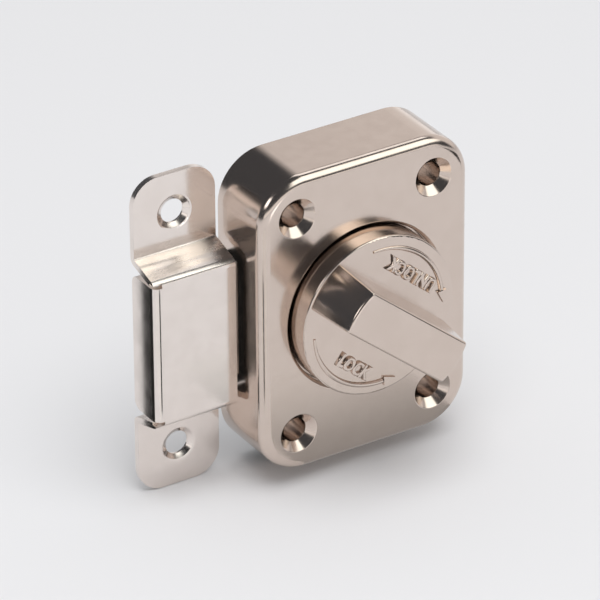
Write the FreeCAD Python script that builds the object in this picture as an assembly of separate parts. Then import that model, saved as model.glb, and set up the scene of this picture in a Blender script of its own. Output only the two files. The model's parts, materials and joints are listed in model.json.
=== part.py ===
import FreeCAD, Part
import math
import os

# Twist latch: a surface-mounted case with a turning knob, a rack-driven bolt and a loose keeper.
# The origin is the middle of the case's back face. X runs to the right, Y into the door, Z up.
# Every length is in millimetres.

# Case
case_width = 50.0
case_height = 68.0
case_depth = 16.5
case_corner = 10.5
case_edge_round = 2.3
case_wall = 2.0
case_front_wall = 2.2

# Screw holes of the case, for 4 mm countersunk screws
hole_from_side = 8.7
hole_spacing_z = 50.0
hole_radius = 2.6
hole_sink_radius = 4.35
post_radius = 4.9

# Knob
knob_angle = -39.7
knob_radius = 17.9
knob_rise = 4.8
knob_edge_round = 0.45
knob_hole_gap = 0.4
knob_hole_bevel = 0.6
flange_step = 2.1
flange_thickness = 2.4
hub_radius = 8.0
grip_height = 11.1
grip_base_width = 10.8
grip_crest_width = 9.6
grip_end_step = 0.6
grip_end_lean = 1.95
grip_edge_round = 0.65
grip_skin = 2.0
socket_wall = 3.0

# Spindle and what rides on it
spindle_radius = 4.0
spindle_square = 5.6
spindle_grip_depth = 11.8
tail_radius = 2.75
tail_short = 0.3
groove_depth = 0.65
groove_width = 0.6
bush_radius = 5.6
bush_flange_radius = 7.2
bush_flange_thickness = 0.6
gear_hub_radius = 5.6
gear_washer_radius = 5.0
gear_washer_thickness = 0.45
clip_radius = 4.3
clip_thickness = 0.5
clip_opening = 3.4

# Gear and rack
tooth_module = 0.8
tooth_count = 20
pressure_angle = 20.0
addendum = 0.8
dedendum = 1.0
backlash = 0.14
gear_thickness = 3.4
rack_thickness = 3.0
mesh_reach = 4.5
arm_gear_gap = 0.5
head_gear_gap = 0.8

# Plates
back_plate_thickness = 1.2
bearing_plate_thickness = 1.5
knob_washer_thickness = 0.5
knob_washer_gap = 0.7

# Wave spring
wave_hub_gap = 1.0
wave_width = 3.5
wave_thickness = 0.4
wave_count = 3
points_per_wave = 12

# Bolt
bolt_height = 26.4
bolt_thickness = 5.8
bolt_corner_round = 0.8
bolt_turn = 90.0
frame_tongue = 7.4
arm_wall_gap = 2.5
lower_arm_end = 14.0
rivet_radius = 1.5
rivet_height = 8.0

# Rails and their screws
rail_height = 5.8
rail_screw_from_wall = 3.6
rail_screw_inset = 3.1
rail_screw_head_radius = 2.2
rail_screw_head_height = 1.5
rail_screw_grip = 4.4
small_screw_radius = 1.25
small_boss_radius = 2.7
spring_pocket_left = -7.0
spring_pocket_length = 21.0
spring_pocket_depth = 2.2
spring_thickness = 0.3
spring_width = 4.0

# Back plate screws
plate_screw_x = 7.5
plate_screw_from_wall = 3.0
plate_screw_head_radius = 2.3
plate_screw_length = 8.0
driver_slot_width = 0.6
driver_slot_depth = 0.6

# Keeper, beside the case on the same mounting plane
sheet = 1.4
sheet_bend = 0.3
keeper_gap = 1.35
keeper_drop = 1.75
keeper_width = 19.2
keeper_length = 72.3
keeper_rise = 7.65
keeper_panel_height = 33.6
keeper_step_lean = 2.2
keeper_corner = 5.8
keeper_hole_spacing = 54.2
keeper_hole_radius = 2.6
keeper_sink_radius = 4.1
keeper_sink_land = 0.4
flap_inset = 1.3
flap_short = 0.4
flap_bend_outer = 1.7
flap_corner = 2.0
flap_notch_height = 0.9
flap_notch_depth = 2.0

# Clearances
slide_gap = 0.1
seat_gap = 0.05
press_gap = 0.02
rail_gap = 0.15
spring_gap = 0.08

# How far a cutter runs past what it cuts, how far a tooth is sunk into its body,
# and how near two places count as one
overcut = 1.0
tooth_sink = 0.2
same_place = 0.01

# Planes that follow from the sizes above, all along Y
case_front = -case_depth
front_wall_inside = case_front + case_front_wall
knob_face = case_front - knob_rise
grip_crest = knob_face - grip_height
plate_front = -back_plate_thickness
bolt_back = plate_front - slide_gap
bolt_front = bolt_back - bolt_thickness
bearing_back = bolt_front - slide_gap
bearing_front = bearing_back - bearing_plate_thickness
flange_front = front_wall_inside + knob_washer_thickness + slide_gap
flange_back = flange_front + flange_thickness
bush_front = bearing_front - bush_flange_thickness
hub_back = bush_front - slide_gap
bolt_middle = (bolt_front + bolt_back) / 2
rack_front = bolt_middle - rack_thickness / 2
rack_back = bolt_middle + rack_thickness / 2
gear_front = bolt_middle - gear_thickness / 2
gear_back = bolt_middle + gear_thickness / 2
rail_back = plate_front - slide_gap
knob_hole_radius = knob_radius + knob_hole_gap
flange_radius = knob_radius + flange_step
thread_radius = small_screw_radius + press_gap

# Radii and places of the gear pair
pitch_radius = tooth_module * tooth_count / 2
gear_tip_radius = pitch_radius + addendum
gear_root_radius = pitch_radius - dedendum
tooth_pitch = math.pi * tooth_module
bolt_travel = pitch_radius * math.radians(bolt_turn)
bolt_left = -case_width / 2
bolt_head_right = -gear_tip_radius - head_gear_gap
upper_arm_end = case_width / 2 - case_wall - arm_wall_gap
rivet_x = bolt_head_right - frame_tongue / 2
arm_inner = gear_tip_radius + arm_gear_gap
rail_inner = bolt_height / 2 + rail_gap
rail_screw_z = rail_inner + rail_screw_inset
rail_outer = rail_inner + rail_height
rail_half_length = case_width / 2 - case_wall - seat_gap

# Places of the screws
hole_x = case_width / 2 - hole_from_side
hole_z = hole_spacing_z / 2
plate_screw_z = case_height / 2 - case_wall - plate_screw_from_wall
rail_screw_x = case_width / 2 - case_wall - rail_screw_from_wall

# Keeper planes, seen from the front: ears lie behind the panel
keeper_left = -case_width / 2 - keeper_gap - keeper_width
keeper_right = keeper_left + keeper_width
keeper_middle_x = (keeper_left + keeper_right) / 2
keeper_middle_z = -keeper_drop
keeper_panel_face = -sheet - keeper_rise
flap_height = keeper_panel_height - 2 * flap_inset


def block(x0, x1, y0, y1, z0, z1):
    """A box between two corners."""
    size = (x1 - x0, y1 - y0, z1 - z0)
    return Part.makeBox(size[0], size[1], size[2], FreeCAD.Vector(x0, y0, z0))


def rod(x, z, y0, y1, radius):
    """A round rod along Y."""
    return Part.makeCylinder(radius, y1 - y0, FreeCAD.Vector(x, y0, z), FreeCAD.Vector(0, 1, 0))


def cone(x, z, y0, y1, radius0, radius1):
    """A cone along Y with radius0 at y0 and radius1 at y1."""
    start = FreeCAD.Vector(x, y0, z)
    return Part.makeCone(radius0, radius1, y1 - y0, start, FreeCAD.Vector(0, 1, 0))


def ring(y0, y1, inner, outer):
    """A flat ring round the knob's axis."""
    return rod(0, 0, y0, y1, outer).cut(rod(0, 0, y0 - overcut, y1 + overcut, inner))


def rounded_plate(width, height, corner, y0, y1):
    """A plate with round corners, centred on the knob's axis."""
    plate = block(-width / 2, width / 2, y0, y1, -height / 2, height / 2)
    corners = [e for e in plate.Edges if abs(e.tangentAt(e.FirstParameter).y) > 1 - same_place]
    return plate.makeFillet(corner, corners)


def edges_on_plane(shape, y):
    """Edges of a shape that lie in the plane at y."""
    found = []
    for edge in shape.Edges:
        box = edge.BoundBox
        if abs(box.YMin - y) < same_place and abs(box.YMax - y) < same_place:
            found.append(edge)
    return found


def corners_of(half_x, half_z):
    """The four corners of a rectangle about the axis."""
    return [(sx * half_x, sz * half_z) for sx in (-1, 1) for sz in (-1, 1)]


def countersunk_hole(x, z, y_face, y_end, radius, sink_radius):
    """The cutter of a hole whose 90 degree countersink opens at y_face."""
    sink_depth = sink_radius - radius
    hole = rod(x, z, y_face - overcut, y_end + overcut, radius)
    sink = cone(x, z, y_face, y_face + sink_depth, sink_radius, radius)
    mouth = rod(x, z, y_face - overcut, y_face, sink_radius)
    return hole.fuse(sink).fuse(mouth)


def turned(shape, angle):
    """Turn a shape about the knob's axis, counter-clockwise seen from the front."""
    copy = shape.copy()
    copy.rotate(FreeCAD.Vector(0, 0, 0), FreeCAD.Vector(0, -1, 0), angle)
    return copy


def prism(points, y0, y1):
    """Extrude a closed outline of (x, z) points along Y."""
    wire = Part.makePolygon([FreeCAD.Vector(x, y0, z) for x, z in points + points[:1]])
    return Part.Face(wire).extrude(FreeCAD.Vector(0, y1 - y0, 0))


# Case body
def make_case_body():
    shell = rounded_plate(case_width, case_height, case_corner, case_front, 0)
    shell = shell.makeFillet(case_edge_round, edges_on_plane(shell, case_front))
    inner_width = case_width - 2 * case_wall
    inner_height = case_height - 2 * case_wall
    inner_corner = case_corner - case_wall
    cavity = rounded_plate(inner_width, inner_height, inner_corner, front_wall_inside, overcut)
    shell = shell.cut(cavity)
    for x, z in corners_of(hole_x, hole_z):
        shell = shell.fuse(rod(x, z, front_wall_inside, plate_front, post_radius))
    for x, z in corners_of(plate_screw_x, plate_screw_z):
        shell = shell.fuse(rod(x, z, front_wall_inside, plate_front, small_boss_radius))
    for x, z in corners_of(rail_screw_x, rail_screw_z):
        shell = shell.fuse(rod(x, z, front_wall_inside, bearing_front, small_boss_radius))
    for x, z in corners_of(hole_x, hole_z):
        shell = shell.cut(countersunk_hole(x, z, case_front, 0, hole_radius, hole_sink_radius))
    for x, z in corners_of(plate_screw_x, plate_screw_z):
        end = -plate_screw_length - seat_gap
        shell = shell.cut(rod(x, z, end, overcut, thread_radius))
    for x, z in corners_of(rail_screw_x, rail_screw_z):
        end = bearing_front - rail_screw_grip - seat_gap
        shell = shell.cut(rod(x, z, end, bearing_front + overcut, thread_radius))
    window_end = front_wall_inside + overcut
    shell = shell.cut(rod(0, 0, case_front - overcut, window_end, knob_hole_radius))
    bevel_radius = knob_hole_radius + knob_hole_bevel
    bevel_end = case_front + knob_hole_bevel
    shell = shell.cut(cone(0, 0, case_front, bevel_end, bevel_radius, knob_hole_radius))
    mouth_half = bolt_height / 2 + rail_gap
    mouth_left = -case_width / 2 - overcut
    mouth_right = -case_width / 2 + case_wall + overcut
    mouth = block(mouth_left, mouth_right, bearing_back, overcut, -mouth_half, mouth_half)
    return shell.cut(mouth)


# Back plate, with a tab that closes the bolt's mouth from behind
def make_back_plate():
    width = case_width - 2 * case_wall - 2 * slide_gap
    height = case_height - 2 * case_wall - 2 * slide_gap
    corner = case_corner - case_wall - slide_gap
    plate = rounded_plate(width, height, corner, plate_front, 0)
    tab_half = bolt_height / 2 + rail_gap - slide_gap
    tab = block(-case_width / 2, 0, plate_front, 0, -tab_half, tab_half)
    plate = plate.fuse(tab).removeSplitter()
    for x, z in corners_of(hole_x, hole_z):
        plate = plate.cut(rod(x, z, plate_front - overcut, overcut, hole_radius))
    for x, z in corners_of(plate_screw_x, plate_screw_z):
        plate = plate.cut(plate_screw(x, z, seat_gap))
    return plate.cut(rod(0, 0, plate_front - overcut, overcut, tail_radius + rail_gap))


def plate_screw(x, z, gap):
    """One countersunk screw of the back plate, grown by a gap to make its hole."""
    head_depth = plate_screw_head_radius - small_screw_radius
    head = cone(x, z, -head_depth, 0, small_screw_radius + gap, plate_screw_head_radius + gap)
    shank = rod(x, z, -plate_screw_length, -head_depth, small_screw_radius + gap)
    return head.fuse(shank)


def driver_slot(x, z, y, head_radius):
    """The cutter of a screwdriver slot in a head whose back face is at y."""
    reach = head_radius + overcut
    half = driver_slot_width / 2
    return block(x - reach, x + reach, y - driver_slot_depth, y + overcut, z - half, z + half)


def make_back_plate_screws():
    screws = []
    for x, z in corners_of(plate_screw_x, plate_screw_z):
        screw = plate_screw(x, z, 0)
        screws.append(screw.cut(driver_slot(x, z, 0, plate_screw_head_radius)))
    return Part.makeCompound(screws)


# Knob: disc, retaining flange and grip bar in one casting
def grip_bar():
    base_radius = knob_radius - grip_end_step
    crest_radius = base_radius - grip_end_lean
    ends = cone(0, 0, grip_crest, knob_face, crest_radius, base_radius)
    reach = knob_radius + overcut
    half_base = grip_base_width / 2
    half_crest = grip_crest_width / 2
    outline = [
        FreeCAD.Vector(-reach, knob_face, -half_base),
        FreeCAD.Vector(-reach, knob_face, half_base),
        FreeCAD.Vector(-reach, grip_crest, half_crest),
        FreeCAD.Vector(-reach, grip_crest, -half_crest),
    ]
    face = Part.Face(Part.makePolygon(outline + outline[:1]))
    slab = face.extrude(FreeCAD.Vector(2 * reach, 0, 0))
    bar = slab.common(ends)
    rim = [e for e in bar.Edges if e.BoundBox.YMin < knob_face - grip_edge_round]
    return bar.makeFillet(grip_edge_round, rim)


def make_knob():
    disc = rod(0, 0, knob_face, flange_front, knob_radius)
    disc = disc.makeFillet(knob_edge_round, edges_on_plane(disc, knob_face))
    flange = rod(0, 0, flange_front, flange_back, flange_radius)
    hub = rod(0, 0, flange_back, hub_back, hub_radius)
    knob = disc.fuse(flange).fuse(hub).fuse(grip_bar())
    core_front = grip_crest + grip_skin
    core_half = grip_crest_width / 2 - grip_skin
    core_near = spindle_radius + socket_wall
    core_far = knob_radius - grip_end_step - grip_end_lean - grip_skin
    for side in (-1, 1):
        left = min(side * core_near, side * core_far)
        right = max(side * core_near, side * core_far)
        core_end = flange_back + overcut
        knob = knob.cut(block(left, right, core_front, core_end, -core_half, core_half))
    socket_front = hub_back - spindle_grip_depth
    knob = knob.cut(rod(0, 0, socket_front, hub_back + overcut, spindle_radius + press_gap))
    return turned(knob, knob_angle)


def make_knob_washer():
    return ring(front_wall_inside, front_wall_inside + knob_washer_thickness,
                knob_radius + knob_washer_gap, flange_radius)


# Wave spring between the knob's flange and the bearing plate
def wave_curve(radius, middle, swing):
    """A closed curve round the axis that waves along Y."""
    steps = points_per_wave * wave_count
    points = []
    for i in range(steps):
        angle = 2 * math.pi * i / steps
        y = middle + swing * math.cos(wave_count * angle)
        points.append(FreeCAD.Vector(radius * math.cos(angle), y, radius * math.sin(angle)))
    curve = Part.BSplineCurve()
    curve.interpolate(points, PeriodicFlag=True)
    return curve.toShape()


def make_wave_spring():
    middle = (flange_back + bearing_front) / 2
    space = bearing_front - flange_back - 2 * seat_gap
    swing = (space - wave_thickness) / 2
    half = wave_thickness / 2
    wave_inner = hub_radius + wave_hub_gap
    wave_outer = wave_inner + wave_width
    front_inner = wave_curve(wave_inner, middle - half, swing)
    front_outer = wave_curve(wave_outer, middle - half, swing)
    back_inner = wave_curve(wave_inner, middle + half, swing)
    back_outer = wave_curve(wave_outer, middle + half, swing)
    faces = [
        Part.makeRuledSurface(front_inner, front_outer),
        Part.makeRuledSurface(back_inner, back_outer),
        Part.makeRuledSurface(front_inner, back_inner),
        Part.makeRuledSurface(front_outer, back_outer),
    ]
    shell = Part.Shell([f for face in faces for f in face.Faces])
    solid = Part.Solid(shell)
    if solid.Volume < 0:
        solid.reverse()
    return solid


# Bearing plate and bush
def make_bearing_plate():
    half_width = case_width / 2 - case_wall - slide_gap
    plate = block(-half_width, half_width, bearing_front, bearing_back, -rail_outer, rail_outer)
    front = bearing_front - overcut
    back = bearing_back + overcut
    plate = plate.cut(rod(0, 0, front, back, bush_radius + press_gap))
    for x, z in corners_of(rail_screw_x, rail_screw_z):
        plate = plate.cut(rod(x, z, front, back, small_screw_radius + slide_gap))
    for x, z in corners_of(hole_x, hole_z):
        plate = plate.cut(rod(x, z, front, back, post_radius + slide_gap))
    return plate


def make_spindle_bush():
    flange = rod(0, 0, bush_front, bearing_front, bush_flange_radius)
    body = rod(0, 0, bearing_front, bearing_back, bush_radius)
    bore = rod(0, 0, bush_front - overcut, bearing_back + overcut, spindle_radius + seat_gap)
    return flange.fuse(body).cut(bore)


# Spindle
def square_bar(y0, y1, across):
    half = across / 2
    return block(-half, half, y0, y1, -half, half)


def make_spindle():
    journal = rod(0, 0, hub_back - spindle_grip_depth + seat_gap, bearing_back, spindle_radius)
    square = square_bar(bearing_back, gear_back, spindle_square)
    tail = rod(0, 0, gear_back, -tail_short, tail_radius)
    groove_front = gear_back + gear_washer_thickness + 2 * seat_gap
    groove_radius = tail_radius - groove_depth
    groove_outer = tail_radius + overcut
    groove = ring(groove_front, groove_front + groove_width, groove_radius, groove_outer)
    spindle = journal.fuse(square).fuse(tail).cut(groove)
    return turned(spindle, knob_angle)


# Drive gear
def involute_point(base_radius, radius):
    """Roll angle along the involute where it reaches a radius."""
    pressure = math.acos(min(1.0, base_radius / radius))
    return math.tan(pressure) - pressure


def gear_tooth(base_radius, start_radius):
    """One tooth that points up, from inside the root circle to the tip circle."""
    pressure = math.radians(pressure_angle)
    half_at_pitch = (tooth_pitch - backlash) / 2 / pitch_radius / 2
    half_at_base = half_at_pitch + math.tan(pressure) - pressure
    flank_radii = [start_radius, (start_radius + gear_tip_radius) / 2, gear_tip_radius]
    right = []
    left = []
    for radius in flank_radii:
        half = half_at_base - involute_point(base_radius, radius)
        x = radius * math.sin(half)
        z = radius * math.cos(half)
        right.append(FreeCAD.Vector(x, gear_front, z))
        left.append(FreeCAD.Vector(-x, gear_front, z))
    foot_radius = gear_root_radius - tooth_sink
    foot_x = foot_radius * math.sin(half_at_base)
    foot_z = foot_radius * math.cos(half_at_base)
    foot_right = FreeCAD.Vector(foot_x, gear_front, foot_z)
    foot_left = FreeCAD.Vector(-foot_x, gear_front, foot_z)
    top = FreeCAD.Vector(0, gear_front, gear_tip_radius)
    edges = [
        Part.LineSegment(foot_left, left[0]).toShape(),
        Part.Arc(left[0], left[1], left[2]).toShape(),
        Part.Arc(left[2], top, right[2]).toShape(),
        Part.Arc(right[2], right[1], right[0]).toShape(),
        Part.LineSegment(right[0], foot_right).toShape(),
        Part.LineSegment(foot_right, foot_left).toShape(),
    ]
    return Part.Face(Part.Wire(edges)).extrude(FreeCAD.Vector(0, gear_thickness, 0))


def make_drive_gear():
    base_radius = pitch_radius * math.cos(math.radians(pressure_angle))
    tooth = gear_tooth(base_radius, max(base_radius, gear_root_radius + seat_gap))
    gear = rod(0, 0, gear_front, gear_back, gear_root_radius)
    teeth = [turned(tooth, 360 * i / tooth_count) for i in range(tooth_count)]
    gear = gear.multiFuse(teeth)
    hub = rod(0, 0, bearing_back + slide_gap, gear_front, gear_hub_radius)
    gear = gear.fuse(hub)
    across = spindle_square + 2 * press_gap
    bore = square_bar(bearing_back - overcut, gear_back + overcut, across)
    return gear.cut(turned(bore, knob_angle)).removeSplitter()


def make_gear_washer():
    front = gear_back + seat_gap
    return ring(front, front + gear_washer_thickness, tail_radius + slide_gap, gear_washer_radius)


def make_spindle_clip():
    front = gear_back + gear_washer_thickness + 3 * seat_gap
    back = front + clip_thickness
    clip = ring(front, back, tail_radius - groove_depth + press_gap, clip_radius)
    half = clip_opening / 2
    reach = clip_radius + overcut
    opening = block(0, reach, front - overcut, back + overcut, -half, half)
    return turned(clip.cut(opening), knob_angle)


# Bolt head, rack frame and their rivets
def make_bolt_head():
    half = bolt_height / 2
    head = block(bolt_left, bolt_head_right, bolt_front, bolt_back, -half, half)
    nose = []
    for edge in head.Edges:
        box = edge.BoundBox
        if box.XMax < bolt_left + same_place:
            nose.append(edge)
    head = head.makeFillet(bolt_corner_round, nose)
    slot_left = bolt_head_right - frame_tongue - seat_gap
    slot = block(slot_left, bolt_head_right + overcut, rack_front - press_gap,
                 rack_back + press_gap, -half - overcut, half + overcut)
    head = head.cut(slot)
    hole_radius_here = rivet_radius + press_gap
    for z in (-rivet_height, rivet_height):
        head = head.cut(rod(rivet_x, z, bolt_front - overcut, bolt_back + overcut, hole_radius_here))
    return head


def rack_tooth(x):
    """One rack tooth that points down from the upper arm."""
    lean = math.tan(math.radians(pressure_angle))
    half_pitch = (tooth_pitch - backlash) / 4
    tip_half = half_pitch - addendum * lean
    root_half = half_pitch + dedendum * lean
    tip = pitch_radius - addendum
    root = pitch_radius + dedendum
    over = root + tooth_sink
    points = [(x - root_half, over), (x - root_half, root), (x - tip_half, tip),
              (x + tip_half, tip), (x + root_half, root), (x + root_half, over)]
    return prism(points, rack_front, rack_back)


def make_rack_frame():
    half = bolt_height / 2
    tongue_left = bolt_head_right - frame_tongue
    tongue = block(tongue_left, bolt_head_right, rack_front, rack_back, -half, half)
    rack_root = pitch_radius + dedendum
    upper = block(bolt_head_right, upper_arm_end, rack_front, rack_back, arm_inner, half)
    teeth_left = math.ceil(mesh_reach / tooth_pitch)
    teeth_right = math.ceil((bolt_travel + mesh_reach) / tooth_pitch)
    rack_left = -teeth_left * tooth_pitch
    bar = block(rack_left, upper_arm_end, rack_front, rack_back, rack_root, half)
    lower = block(bolt_head_right, lower_arm_end, rack_front, rack_back, -half, -arm_inner)
    frame = tongue.fuse(upper).fuse(bar).fuse(lower)
    teeth = []
    for k in range(-teeth_left, teeth_right):
        teeth.append(rack_tooth((k + 0.5) * tooth_pitch))
    frame = frame.multiFuse(teeth).removeSplitter()
    for z in (-rivet_height, rivet_height):
        front = rack_front - overcut
        frame = frame.cut(rod(rivet_x, z, front, rack_back + overcut, rivet_radius + press_gap))
    return frame


def make_bolt_rivets():
    rivets = []
    for z in (-rivet_height, rivet_height):
        rivets.append(rod(rivet_x, z, bolt_front, bolt_back, rivet_radius))
    return Part.makeCompound(rivets)


# Guide rails, the leaf spring in the lower one, and the screws
def make_rail(side):
    low = min(side * rail_inner, side * rail_outer)
    high = max(side * rail_inner, side * rail_outer)
    rail = block(-rail_half_length, rail_half_length, bearing_back, rail_back, low, high)
    front = bearing_back - overcut
    back = rail_back + overcut
    seat = rail_back - rail_screw_head_height - slide_gap
    for x in (-rail_screw_x, rail_screw_x):
        z = side * rail_screw_z
        rail = rail.cut(rod(x, z, front, back, small_screw_radius + slide_gap))
        rail = rail.cut(rod(x, z, seat, back, rail_screw_head_radius + slide_gap))
        rail = rail.cut(rod(math.copysign(hole_x, x), side * hole_z, front, back,
                            post_radius + slide_gap))
    return rail


def make_upper_rail():
    return make_rail(1)


def spring_middle_y():
    return (bearing_back + rail_back) / 2


def make_lower_rail():
    pocket_half = spring_width / 2 + slide_gap
    right = spring_pocket_left + spring_pocket_length
    floor = -rail_inner - spring_pocket_depth
    middle = spring_middle_y()
    pocket = block(spring_pocket_left, right, middle - pocket_half, middle + pocket_half,
                   floor, -rail_inner + overcut)
    return make_rail(-1).cut(pocket)


def make_drag_spring():
    left = spring_pocket_left + spring_gap
    right = spring_pocket_left + spring_pocket_length - spring_gap
    middle_x = (left + right) / 2
    foot = -rail_inner - spring_pocket_depth + spring_gap
    crest = -bolt_height / 2 - spring_gap - spring_thickness
    y0 = spring_middle_y() - spring_width / 2
    arcs = []
    for lift in (0, spring_thickness):
        start = FreeCAD.Vector(left, y0, foot + lift)
        top = FreeCAD.Vector(middle_x, y0, crest + lift)
        end = FreeCAD.Vector(right, y0, foot + lift)
        arcs.append(Part.Arc(start, top, end).toShape())
    joins = []
    for x in (left, right):
        low = FreeCAD.Vector(x, y0, foot)
        high = FreeCAD.Vector(x, y0, foot + spring_thickness)
        joins.append(Part.LineSegment(low, high).toShape())
    wire = Part.Wire(Part.__sortEdges__(arcs + joins))
    return Part.Face(wire).extrude(FreeCAD.Vector(0, spring_width, 0))


def make_rail_screws():
    screws = []
    for x, z in corners_of(rail_screw_x, rail_screw_z):
        head_front = rail_back - rail_screw_head_height - slide_gap
        head_back = rail_back - slide_gap
        head = rod(x, z, head_front, head_back, rail_screw_head_radius)
        shank = rod(x, z, bearing_front - rail_screw_grip, head_front, small_screw_radius)
        slot = driver_slot(x, z, head_back, rail_screw_head_radius)
        screws.append(head.fuse(shank).cut(slot))
    return Part.makeCompound(screws)


# Keeper: one strip of sheet, bent to two ears and a raised panel, with a flap along its far side
def rounded_path(points, radii):
    """Edges of an open path in the YZ plane, with an arc at each inner point."""
    edges = []
    start = points[0]
    for i in range(1, len(points) - 1):
        corner = points[i]
        back = (points[i - 1] - corner).normalize()
        ahead = (points[i + 1] - corner).normalize()
        half = back.getAngle(ahead) / 2
        radius = radii[i - 1]
        run = radius / math.tan(half)
        first = corner + back * run
        last = corner + ahead * run
        inward = (back + ahead).normalize()
        middle = corner + inward * (radius / math.sin(half) - radius)
        edges.append(Part.LineSegment(start, first).toShape())
        edges.append(Part.Arc(first, middle, last).toShape())
        start = last
    edges.append(Part.LineSegment(start, points[-1]).toShape())
    return edges


def keeper_strip():
    """The bent strip before its corners, holes and flap are cut."""
    ear_face = -sheet
    half = keeper_length / 2
    panel_half = keeper_panel_height / 2
    foot_half = panel_half + keeper_step_lean
    slope = math.atan2(keeper_step_lean, keeper_rise)
    shift = sheet * math.tan(math.pi / 4 - slope / 2)
    front = []
    rear = []
    for sign in (-1, 1):
        pairs_front = [(ear_face, half), (ear_face, foot_half), (keeper_panel_face, panel_half)]
        pairs_rear = [(ear_face + sheet, half), (ear_face + sheet, foot_half - shift),
                      (keeper_panel_face + sheet, panel_half - shift)]
        if sign > 0:
            pairs_front.reverse()
            pairs_rear.reverse()
        for y, z in pairs_front:
            front.append(FreeCAD.Vector(keeper_left, y, keeper_middle_z + sign * z))
        for y, z in pairs_rear:
            rear.append(FreeCAD.Vector(keeper_left, y, keeper_middle_z + sign * z))
    inside = sheet_bend
    outside = sheet_bend + sheet
    edges = rounded_path(front, [inside, outside, outside, inside])
    edges += rounded_path(rear, [outside, inside, inside, outside])
    edges.append(Part.LineSegment(front[0], rear[0]).toShape())
    edges.append(Part.LineSegment(front[-1], rear[-1]).toShape())
    wire = Part.Wire(Part.__sortEdges__(edges))
    return Part.Face(wire).extrude(FreeCAD.Vector(keeper_width, 0, 0))


def keeper_flap():
    """The bend along the panel's far side and the flap behind it."""
    outer = flap_bend_outer
    inner = outer - sheet
    low = keeper_middle_z - flap_height / 2
    bend_x = keeper_left + outer
    bend_y = keeper_panel_face + outer
    axis = FreeCAD.Vector(0, 0, 1)
    centre = FreeCAD.Vector(bend_x, bend_y, low)
    bend = Part.makeCylinder(outer, flap_height, centre, axis)
    bend = bend.cut(Part.makeCylinder(inner, flap_height, centre, axis))
    quarter = block(keeper_left, bend_x, keeper_panel_face, bend_y, low, low + flap_height)
    bend = bend.common(quarter)
    rear = -flap_short
    flap = block(keeper_left, keeper_left + sheet, bend_y, rear, low, low + flap_height)
    rear_corners = []
    for edge in flap.Edges:
        box = edge.BoundBox
        if box.YMin > rear - same_place and box.XMax - box.XMin > sheet / 2:
            rear_corners.append(edge)
    flap = flap.makeFillet(flap_corner, rear_corners)
    return bend.fuse(flap)


def make_keeper():
    keeper = keeper_strip()
    half = keeper_length / 2
    corner_edges = []
    for edge in keeper.Edges:
        box = edge.BoundBox
        at_end = abs(abs((box.ZMin + box.ZMax) / 2 - keeper_middle_z) - half) < same_place
        if at_end and box.YMax - box.YMin > sheet / 2:
            corner_edges.append(edge)
    keeper = keeper.makeFillet(keeper_corner, corner_edges)
    flap_half = flap_height / 2
    notch_half = flap_half + flap_notch_height
    panel_inner = keeper_panel_face + sheet + sheet_bend
    left = keeper_left - overcut
    front = keeper_panel_face - overcut
    clear = block(left, keeper_left + flap_bend_outer, front, panel_inner,
                  keeper_middle_z - flap_half, keeper_middle_z + flap_half)
    keeper = keeper.cut(clear)
    for sign in (-1, 1):
        z_near = keeper_middle_z + sign * flap_half
        z_far = keeper_middle_z + sign * notch_half
        notch = block(left, keeper_left + flap_notch_depth, front, panel_inner,
                      min(z_near, z_far), max(z_near, z_far))
        keeper = keeper.cut(notch)
    keeper = keeper.fuse(keeper_flap()).removeSplitter()
    face = -sheet
    for sign in (-1, 1):
        z = keeper_middle_z + sign * keeper_hole_spacing / 2
        sink_end = face + sheet - keeper_sink_land
        sink = cone(keeper_middle_x, z, face, sink_end, keeper_sink_radius, keeper_hole_radius)
        hole_end = face + sheet + overcut
        hole = rod(keeper_middle_x, z, face - overcut, hole_end, keeper_hole_radius)
        keeper = keeper.cut(sink.fuse(hole))
    return keeper


makers = {
    "case_body": make_case_body,
    "back_plate": make_back_plate,
    "back_plate_screws": make_back_plate_screws,
    "knob": make_knob,
    "knob_washer": make_knob_washer,
    "wave_spring": make_wave_spring,
    "bearing_plate": make_bearing_plate,
    "spindle_bush": make_spindle_bush,
    "spindle": make_spindle,
    "drive_gear": make_drive_gear,
    "gear_washer": make_gear_washer,
    "spindle_clip": make_spindle_clip,
    "bolt_head": make_bolt_head,
    "rack_frame": make_rack_frame,
    "bolt_rivets": make_bolt_rivets,
    "upper_rail": make_upper_rail,
    "lower_rail": make_lower_rail,
    "drag_spring": make_drag_spring,
    "rail_screws": make_rail_screws,
    "keeper": make_keeper,
}

os.makedirs("parts", exist_ok=True)
for name, maker in makers.items():
    shape = maker()
    shape.exportStep("parts/" + name + ".step")
    print(name, len(shape.Solids), "solid(s)", round(shape.Volume, 1), "mm3", shape.isValid())
print("bolt travel", round(bolt_travel, 3), "mm")
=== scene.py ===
"""Twist latch in satin nickel with its bent sheet keeper: looks, studio and camera.

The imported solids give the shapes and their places. Each piece that shows from outside is a welded
copy of its solid with its sharp edges broken, as a tumbled casting or a punched sheet has them, and
the solids inside the case only get their finish. The raised words, the arc arrows and the slotted
screws of the back plate are built here. Every finish is procedural.
Lengths are in metres in the row frame, unless a name ends in _mm.
"""
import json
import logging
import math
from dataclasses import dataclass
from enum import Enum

import bmesh
import bpy
from mathutils import Matrix, Vector


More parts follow.
